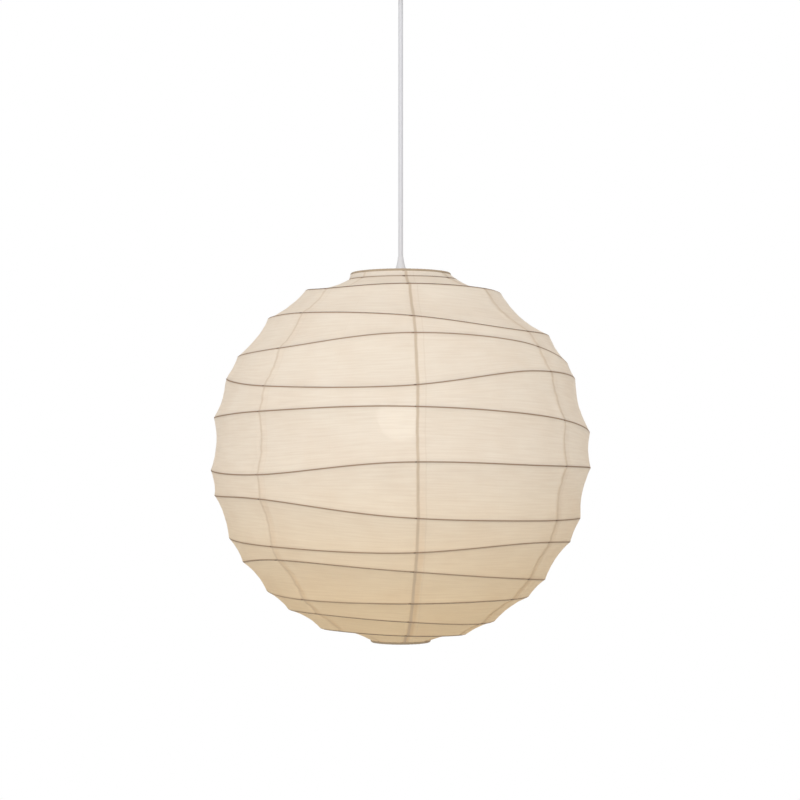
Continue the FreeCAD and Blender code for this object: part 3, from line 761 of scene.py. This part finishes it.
@dataclass
class PaperBall:
    """Seven paper gores glued edge over edge on the rib wire, and the wire itself.

    Attributes:
        course: The rib wire's course.
        collar: The neck under the top ring.
        crest: Radius of the paper where it lies over the wire.
        gores: How many gores go round.
        first_seam: Bearing of the seam behind which the wire starts, in degrees from the left side.
        lap: Width of the glued overlap at the ball's widest.
        columns: Mesh columns across a gore.
        row_gap: Spacing of the mesh rows between ribs.
        sag: How deep the paper dips between two ribs that are 60 mm apart.
        seam_strays: How far each seam lies from even spacing, in degrees.
        top_edge: Radius and height of the paper's upper edge.
        bottom_edge: Radius and height of its lower edge.
    """

    UV_SPAN = 0.7
    RING_RISE = 0.214
    SAG_SPAN = 0.06
    SAG_POWER = 1.5
    BESIDE_RIB_MM = (0.7, 1.5, 2.8)
    FIRST_SHARE = 0.02
    NEXT_SHARE = 0.07
    LEAST_ROWS = 5
    CREASE = Ripple(0.28, 55.0, 4.5, 3.0)
    SWELL = Ripple(0.9, 60.0, 30.0, 9.0)
    PUCKER = Ripple(1.1, 9.0, 7.0, 5.0)
    PUCKER_REACH_MM = 13.0
    PULL_MM = 0.5
    TIGHT_BESIDE_RIB = 7 * MM
    SEAM_BOW_MM = 1.6
    BOW_LENGTH_MM = 31.0
    BOW_SHIFT = 2.1
    SEAM_JITTER = Ripple(1.3, 9.0, 1.0, 0.0)
    CALM_SEAM = 2
    CALM_WOBBLE = 0.45
    CALM_PUCKER = 0.5
    PLAIN_INK = 0.5
    LEAST_LAP = 0.4
    LAYER = 0.0005
    WIRE_RADIUS = 0.75 * MM
    course: RibCourse = field(default_factory=RibCourse)
    collar: Collar = Collar()
    crest: float = 0.2246
    gores: int = 7
    first_seam: float = -7.4
    lap: float = 0.0104
    columns: int = 58
    row_gap: float = 0.0032
    sag: float = 0.004
    seam_strays: Sequence[float] = (0.0, 0.3, -1.0, -0.9, 0.5, -0.4, 0.2)
    top_edge: tuple[float, float] = (0.0598, 0.2130)
    bottom_edge: tuple[float, float] = (0.0356, -0.2183)

    @staticmethod
    def centre_height() -> float:
        """Height of the ball's middle, which the top ring gives."""
        return middle("top_ring").z - PaperBall.RING_RISE

    def build(self) -> None:
        """Makes the gores and the rib wire."""
        paper = SHADE_PAPER.material()
        for number in range(self.gores):
            piece = self.gore(number)
            own(piece, paper, "pendant")
            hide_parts(f"paper_{piece.name}")
            self.fold(piece)
            log.info("%s: %d faces", piece.name, len(piece.data.polygons))
        rib = self.rib_wire()
        own(rib, RIB_COAT.material(), "pendant")
        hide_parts("rib_wire")
        self.fold(rib)
        log.info("%s: %d faces", rib.name, len(rib.data.polygons))

    def fold(self, piece: Piece) -> None:
        """Gives a piece its own copy of its mesh."""
        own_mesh(piece)

    def edge(self, number: int, bearing: float) -> Vector:
        """A point of the line where a band of paper starts, as a radius and a height.

        Args:
            number: 0 for the top ring, then the ribs in turn, then the bottom ring.
            bearing: Degrees from the ball's left side.
        """
        if number == 0:
            return Vector(self.top_edge)
        if number > len(self.course.turns):
            return Vector(self.bottom_edge)
        along = FULL_TURN * (number - 1) + bearing
        height = self.course.height(along)
        return Vector((self.collar.reach(along, math.sqrt(self.crest**2 - height**2)), height))

    def seam(self, number: int, height: float) -> float:
        """Bearing of a seam at a height, a little crooked as hands glued it.

        Args:
            number: Which seam, counted from the one that the wire starts behind.
            height: Height above the ball's middle.

        Returns:
            The bearing in degrees from the left side.
        """
        level = height / MM
        joint = number % self.gores
        calm = self.CALM_WOBBLE if joint == self.CALM_SEAM else 1.0
        bow = self.SEAM_BOW_MM * math.sin(level / self.BOW_LENGTH_MM + joint * self.BOW_SHIFT)
        stray = calm * (bow + self.SEAM_JITTER.at(level, joint))
        even = self.first_seam + number * FULL_TURN / self.gores + self.seam_strays[joint]
        return even + math.degrees(stray * MM / self.crest)

    def relief(self, bearing: float, height: float, clear: float) -> float:
        """How far the paper stands proud of its smooth sag, from creases and puckers.

        Args:
            bearing: Degrees from the left side.
            height: Height above the ball's middle.
            clear: Distance to the nearest rib.

        Returns:
            The height of the crease in metres.
        """
        round_mm = math.radians(bearing) * self.crest / MM
        level = height / MM
        pitch = FULL_TURN / self.gores
        number = round((bearing - self.first_seam) / pitch)
        joint = number % self.gores
        off = math.radians(bearing - self.seam(number, height)) * math.sqrt(self.crest**2 - height**2) / MM
        near = math.exp(-((off / self.PUCKER_REACH_MM) ** 2))
        near *= self.CALM_PUCKER if joint == self.CALM_SEAM else 1.0
        ripples = self.CREASE.at(round_mm, level) + self.SWELL.at(round_mm, level)
        ripples += self.PUCKER.at(off, level, near, joint)
        return MM * (ripples + near * self.PULL_MM) * ease(0.0, self.TIGHT_BESIDE_RIB, clear)

    def stations(self, gap: float, rows: int) -> list[float]:
        """Shares of a band at which its rows lie, close together beside the ribs.

        Args:
            gap: Width of the band.
            rows: How many equal rows fill its middle.
        """
        beside = [
            min(offset * MM / gap, self.FIRST_SHARE + self.NEXT_SHARE * step)
            for step, offset in enumerate(self.BESIDE_RIB_MM)
        ]
        inner = [mix(beside[-1], 1 - beside[-1], (row + 1) / rows) for row in range(rows - 1)]
        return [0.0, *beside, *inner, *[1 - share for share in reversed(beside)]]

    def gore(self, number: int) -> Piece:
        """Makes one gore as an open sheet that runs under its neighbour at its right edge.

        Args:
            number: Which gore, counted from the one whose left edge hides the wire's start.

        Returns:
            The new object, in place.
        """
        ribs = len(self.course.turns)
        pitch = FULL_TURN / self.gores
        midway = self.first_seam + (number + 0.5) * pitch
        rows: list[list[tuple[Vector, float, float, float, float, float]]] = []
        length = 0.0
        for band in range(ribs + 1):
            upper, lower = self.edge(band, midway), self.edge(band + 1, midway)
            gap = (upper - lower).length
            shares = self.stations(gap, max(self.LEAST_ROWS, round(gap / self.row_gap)))
            if band == ribs:
                shares.append(1.0)
            for share in shares:
                rows.append(self.row(number, band, share, length + gap * share))
            length += gap
        name = f"gore_{(number + 5) % self.gores + 1}"
        cells = [cell for row in rows for cell in row]
        points = [cell[0] for cell in cells]
        wide = self.columns + 1
        faces = [
            (top + side, top + side + wide, top + side + wide + 1, top + side + 1)
            for top in range(0, len(points) - wide, wide) for side in range(self.columns)
        ]
        mesh = smooth_mesh(name, points, faces)
        for place, mask in ((1, "rib_mm"), (2, "seam_mm"), (3, "seam_ink")):
            attribute = mesh.attributes.new(mask, "FLOAT", "POINT")
            attribute.data.foreach_set("value", [cell[place] for cell in cells])
        layer = mesh.uv_layers.new(name="flat")
        for loop in mesh.loops:
            cell = cells[loop.vertex_index]
            layer.data[loop.index].uv = (cell[4], cell[5])
        mesh.update()
        return placed(name, mesh)

    def row(
        self, number: int, band: int, share: float, length: float
    ) -> list[tuple[Vector, float, float, float, float, float]]:
        """One row of a gore's points, left to right, with what the finish needs to know at each.

        Args:
            number: Which gore.
            band: Which band between ribs.
            share: How far down the band the row lies.
            length: How far down the gore it lies.

        Returns:
            For each point its place, distance to the nearest rib, distance past the nearest seam, how dark
            that seam is, and its place across and down the flat gore.
        """
        pitch = FULL_TURN / self.gores
        midway = self.first_seam + (number + 0.5) * pitch
        nominal = mix(self.edge(band, midway).y, self.edge(band + 1, midway).y, share)
        left = self.seam(number, nominal)
        right = self.seam(number + 1, nominal)
        reach = mix(self.edge(band, midway).x, self.edge(band + 1, midway).x, share)
        lap = self.lap * mix(self.LEAST_LAP, 1.0, reach / self.crest)
        tuck = math.degrees(lap / reach)
        cells = []
        for column in range(self.columns + 1):
            bearing = mix(left, right + tuck, column / self.columns)
            upper, lower = self.edge(band, bearing), self.edge(band + 1, bearing)
            chord = lower - upper
            gap = chord.length
            inward = Vector((chord.y, -chord.x)).normalized()
            above, below = gap * share, gap * (1 - share)
            clear = min(above if band else 1.0, below if band < len(self.course.turns) else 1.0)
            depth = self.sag * (gap / self.SAG_SPAN) ** self.SAG_POWER * 4 * share * (1 - share)
            if band == 0:
                depth += self.collar.pinch(bearing, share)
            height = mix(upper.y, lower.y, share)
            proud = self.relief(bearing, height, min(clear, above, below))
            past_left = math.radians(bearing - left) * reach
            past_right = math.radians(bearing - right) * reach
            under = self.LAYER * ease(-0.004, -self.LAYER, past_right)
            spot = upper + chord * share + inward * (depth - proud + under)
            angle = math.radians(bearing + 180)
            nearest_left = past_left < -past_right
            past = past_left if nearest_left else past_right
            ink = 1.0 if (number if nearest_left else number + 1) == self.CALM_SEAM else self.PLAIN_INK
            level = spot.y + self.centre_height()
            place = Vector((spot.x * math.cos(angle), spot.x * math.sin(angle), level))
            across = 0.5 + math.radians(bearing - midway) * reach / self.UV_SPAN
            cells.append((place, clear / MM, past / MM, ink, across, 0.95 - length / self.UV_SPAN))
        return cells

    def rib_wire(self) -> Piece:
        """Winds the wire along its course, just inside the paper, and returns it as a mesh."""
        data = bpy.data.curves.new("rib_wire_wound", "CURVE")
        data.dimensions = "3D"
        data.bevel_depth = self.WIRE_RADIUS
        data.bevel_resolution = 2
        data.use_fill_caps = True
        inside = self.crest - 1.0 * MM
        step, tail, tuck = 3.0, 30.0, 4.0 * MM
        last = FULL_TURN * len(self.course.turns) + self.first_seam - tail / 2
        count = int((last - self.first_seam) / step)
        spline = data.splines.new("POLY")
        spline.points.add(count)
        for index, point in enumerate(spline.points):
            bearing = self.first_seam + index * step
            height = self.course.height(bearing)
            reach = self.collar.reach(bearing, math.sqrt(inside**2 - height**2))
            reach -= (self.crest - inside) * (1 - ease(*self.collar.release, bearing))
            reach -= tuck * ease(last - tail, last, bearing)
            angle = math.radians(bearing + 180)
            point.co = (reach * math.cos(angle), reach * math.sin(angle), height + self.centre_height(), 1)
        select_only(placed("rib_wire_wound", data))
        bpy.ops.object.convert(target="MESH")
        piece = bpy.context.object
        bpy.ops.object.shade_smooth()
        return piece


@dataclass
class RolledHem:
    """The gores' ends, rolled once round a ring wire and a little further, and glued.

    Attributes:
        node: The CAD hem that this piece stands for.
        ring: The ring wire inside it.
        body: The body it rides on.
        skin: How far the paper's outside stands off the wire where the roll starts.
        rise: How much further off it stands where the roll ends, on top of its own start.
        lap: How far the roll runs over its own start.
        pleat: Spacing of the small pleats that the roll makes.
        strips: Mesh strips round the roll.
    """

    START = -150.0
    WAVERS = 9
    CRINKLES = 30
    PLEAT_MM = 0.05
    CRINKLE_MM = 0.08
    node: str
    ring: str
    body: str
    skin: float = 0.0003
    rise: float = 0.0002
    lap: float = 0.002
    pleat: float = 0.0045
    strips: int = 18

    def build(self) -> None:
        low, high = (Vector(corner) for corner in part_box(self.ring))
        wire = (high.z - low.z) / 2
        around = math.tau * (high.x - wire)
        stations = round(around / (0.8 * MM))
        points = [
            self.point(math.tau * station / stations, strip / self.strips, wire, high.x - wire)
            for station in range(stations) for strip in range(self.strips + 1)
        ]
        wide = self.strips + 1
        faces = []
        for station in range(stations):
            here, ahead = station * wide, (station + 1) % stations * wide
            for strip in range(self.strips):
                faces.append((here + strip, ahead + strip, ahead + strip + 1, here + strip + 1))
        mesh = smooth_mesh(f"{self.node}_rolled", points, faces)
        piece = placed(mesh.name, mesh)
        own(piece, HEM_PAPER.material(), self.body)
        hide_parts(self.node)
        log.info("%s: %d faces", piece.name, len(mesh.polygons))

    def point(self, angle: float, rolled: float, wire: float, reach: float) -> tuple[float, float, float]:
        """A point of the roll.

        Args:
            angle: Where round the ring it lies, in radians.
            rolled: Share of the strip's width that lies before it.
            wire: Radius of the ring's wire.
            reach: Radius of the ring.

        Returns:
            Its place.
        """
        turn = math.tau + self.lap / (wire + self.skin)
        lean = math.radians(self.START) + turn * rolled
        pleats = math.sin(round(math.tau * reach / self.pleat) * angle)
        across, along = math.cos(angle), math.sin(angle)
        waver = noise.noise(Vector((across * self.WAVERS, along * self.WAVERS, reach / MM)))
        fine = noise.noise(Vector((across * self.CRINKLES, along * self.CRINKLES, lean)))
        crinkle = self.PLEAT_MM * pleats * (1 + waver) + self.CRINKLE_MM * (waver + fine)
        off = wire + self.skin + self.rise * rolled + MM * crinkle
        out = reach + off * math.cos(lean)
        return out * across, out * along, middle(self.ring).z + off * math.sin(lean)


# ---- turned and threaded pieces ----


@dataclass
class FlutedRing:
    """The moulded ring that screws up the lampholder and clamps the stretcher's loop.

    Attributes:
        bore: Radius of its threaded bore.
        chamfer: Size of the bevel at its lower rim.
        flutes: How many finger grips go round its rim.
        flute_depth: How deep each grip is.
    """

    POINTS_PER_FLUTE = 6
    bore: float = 0.01997
    chamfer: float = 0.0015
    flutes: int = 20
    flute_depth: float = 0.0009

    def build(self) -> None:
        """Turns the ring, presses in the flutes and rounds the edges."""
        low, high = (Vector(corner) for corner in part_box("shade_ring"))
        rim, small = high.x, self.chamfer * 0.4
        piece = turned_ring("shade_ring_fluted", (
            (self.bore, low.z), (rim - self.chamfer, low.z), (rim, low.z + self.chamfer),
            (rim, high.z - small), (rim - small, high.z), (self.bore, high.z),
        ), self.flutes * self.POINTS_PER_FLUTE)
        step = FULL_TURN / (self.flutes * self.POINTS_PER_FLUTE)
        for vertex in piece.data.vertices:
            column = round(math.degrees(math.atan2(vertex.co.y, vertex.co.x)) / step)
            at_rim = vertex.co.xy.length > rim - 0.1 * MM
            vertex.select = at_rim and column % self.POINTS_PER_FLUTE < 2
        for line in (*piece.data.edges, *piece.data.polygons):
            line.select = False
        shrink = 1 - self.flute_depth / rim
        select_only(piece)
        bpy.ops.object.mode_set(mode="EDIT")
        bpy.ops.mesh.select_mode(type="VERT")
        bpy.ops.transform.resize(value=(shrink, shrink, 1), center_override=(0, 0, low.z))
        bpy.ops.object.mode_set(mode="OBJECT")
        rounding = {"width": 0.2 * MM, "segments": 2, "limit_method": "ANGLE"}
        finish_with(piece, "BEVEL", angle_limit=math.radians(20), **rounding)
        bpy.ops.object.shade_smooth_by_angle(angle=math.radians(40))
        own(piece, POLYPROPYLENE.material(), "shade_ring")
        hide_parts("shade_ring")
        log.info("%s: %d flutes, %d faces", piece.name, self.flutes, len(piece.data.polygons))


@dataclass
class ThreadedCap:
    """The bulb's drawn aluminium cap with its rolled 27 mm lamp thread.

    Attributes:
        wall: Thickness of the drawn shell.
        root: Radius of the shell between the thread's turns.
        bead: Radius of the rolled bead.
        bead_reach: Radius on which the bead's middle runs.
        pitch: Rise of the thread in a turn.
        turns: How many turns it has.
    """

    STEPS = 60
    wall: float = 0.0004
    root: float = 0.0126
    bead: float = 0.0008
    bead_reach: float = 0.01235
    pitch: float = 0.00362
    turns: int = 4

    def build(self) -> None:
        """Turns the shell, winds the bead round it and joins the two."""
        low, high = (Vector(corner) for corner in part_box("bulb_screw_cap"))
        inside, lip = self.root - self.wall, self.wall * 2
        shell = turned_ring("shell", (
            (inside, low.z), (self.root + self.wall, low.z), (self.root, low.z + lip),
            (self.root, high.z - lip), (self.root - lip / 2, high.z), (inside - lip / 2, high.z),
            (inside, high.z - lip),
        ), 72)
        bpy.ops.object.select_all(action="DESELECT")
        start = ((low.z + high.z) - self.pitch * self.turns) / 2
        bpy.ops.mesh.primitive_circle_add(
            vertices=10, radius=self.bead, location=(self.bead_reach, 0, start), rotation=(math.pi / 2, 0, 0)
        )
        thread = bpy.context.object
        settle(thread)
        winding = {"axis": "Z", "screw_offset": self.pitch, "iterations": self.turns}
        finish_with(thread, "SCREW", steps=self.STEPS, render_steps=self.STEPS, **winding)
        bpy.ops.object.mode_set(mode="EDIT")
        bpy.ops.mesh.select_all(action="SELECT")
        bpy.ops.mesh.remove_doubles(threshold=0.001 * MM)
        bpy.ops.mesh.fill_holes(sides=0)
        bpy.ops.mesh.select_all(action="SELECT")
        bpy.ops.mesh.normals_make_consistent(inside=False)
        bpy.ops.object.mode_set(mode="OBJECT")
        piece = joined([shell, thread], "bulb_cap_threaded")
        bpy.ops.object.shade_smooth_by_angle(angle=math.radians(40))
        own(piece, CAP_ALUMINIUM.material(), "bulb")
        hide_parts("bulb_screw_cap")
        log.info("%s: %d turns of thread, %d faces", piece.name, self.turns, len(piece.data.polygons))


@dataclass
class CupScrews:
    """The two screws that hold the ceiling cup to the bracket's ends.

    Attributes:
        head: Radius of the head.
        head_length: Height of the head.
        shank: Radius of the shank.
        length: Length of the shank.
        recess: Width of each arm of the cross recess.
    """

    head: float = 0.0028
    head_length: float = 0.002
    shank: float = 0.00145
    length: float = 0.0095
    recess: float = 0.0008

    def build(self) -> None:
        """Makes a screw at each end of the bracket and joins the pair."""
        high = Vector(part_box("cup_screws")[1])
        pair = [self.screw(side, high) for side in (-1, 1)]
        piece = joined(pair, "cup_screws_recessed")
        bpy.ops.object.shade_smooth_by_angle(angle=math.radians(35))
        own(piece, SCREW_STEEL.material(), "ceiling")
        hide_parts("cup_screws")
        log.info("%s: %d faces", piece.name, len(piece.data.polygons))

    def screw(self, side: int, high: Vector) -> Piece:
        """Makes one screw, its head rounded and cut by a cross recess.

        Args:
            side: -1 for the left screw, 1 for the right one.
            high: The highest corner of the pair's box.

        Returns:
            The screw in its place.
        """
        bpy.ops.object.select_all(action="DESELECT")
        bpy.ops.mesh.primitive_cylinder_add(
            vertices=32, radius=self.head, depth=self.head_length, location=(0, 0, -self.head_length / 2)
        )
        head = bpy.context.object
        settle(head)
        rounding = {"width": 0.7 * MM, "segments": 4, "limit_method": "ANGLE"}
        finish_with(head, "BEVEL", angle_limit=math.radians(60), **rounding)
        arm = self.head * 1.3
        for long, wide in ((arm, self.recess), (self.recess, arm)):
            bpy.ops.object.select_all(action="DESELECT")
            bpy.ops.mesh.primitive_cube_add(size=1, location=(0, 0, 0), scale=(long, wide, self.head_length))
            cutter = bpy.context.object
            settle(cutter)
            finish_with(head, "BOOLEAN", operation="DIFFERENCE", solver="EXACT", object=cutter)
            bpy.data.objects.remove(cutter)
        bpy.ops.object.select_all(action="DESELECT")
        shank_middle = -self.head_length - self.length / 2
        bpy.ops.mesh.primitive_cylinder_add(
            vertices=24, radius=self.shank, depth=self.length, location=(0, 0, shank_middle)
        )
        shank = bpy.context.object
        settle(shank)
        piece = joined([head, shank], f"screw_{side}")
        piece.rotation_euler = (0, side * math.pi / 2, 0)
        piece.location = (side * high.x, 0, middle("cup_screws").z)
        settle(piece)
        return piece


# ---- the bought-in parts ----


@dataclass
class Fittings:
    """Ceiling end, lampholder, stretcher and bulb, which keep their drawn shapes and get their finishes."""

    finishes: dict[Finish, Sequence[str]] = field(default_factory=lambda: {
        SPRING_WIRE: ("top_ring", "bottom_ring", "stretcher_wire_left", "stretcher_wire_right"),
        PRESSED_STEEL: ("ceiling_bracket", "holder_loop"),
        SCREW_STEEL: ("anchor_screws", "terminal_screws"),
        BRASS: ("socket_shell", "centre_contact", "holder_terminals", "bulb_contact"),
        POLYPROPYLENE: ("canopy_cup", "holder_cap", "holder_skirt", "gland_nut", "cord_gland"),
        SHEATH: ("cord_tail",),
        SOFT_VINYL: ("strain_relief",),
        NYLON: ("cord_anchor", "cord_clamp", "terminal_block"),
        STEATITE: ("socket_insert",),
        LIVE_PVC: ("live_core",),
        NEUTRAL_PVC: ("neutral_core",),
        SLEEVE_PVC: ("holder_cores",),
        BLACK_GLASS: ("bulb_insulator",),
        BULB_PLASTIC: ("bulb_housing",),
        OPAL: ("bulb_dome",),
        WHITE_BOARD: ("led_board",),
    })

    def dress(self) -> None:
        """Puts every finish on its nodes."""
        for finish, nodes in self.finishes.items():
            finish.dress(nodes)
            log.info("%s: %s", finish.name, ", ".join(nodes))


def main() -> None:
    """Builds the studio, the cord, the ball, its hems and the fittings."""
    logging.basicConfig(level=logging.INFO, format="%(message)s")
    Studio().build()
    HangingCord().build()
    PaperBall().build()
    RolledHem("top_hem", "top_ring", "pendant").build()
    RolledHem("bottom_hem", "bottom_ring", "bottom_hoop").build()
    for fitting in (FlutedRing(), ThreadedCap(), CupScrews()):
        fitting.build()
    Fittings().dress()


if __name__ == "__main__":
    main()
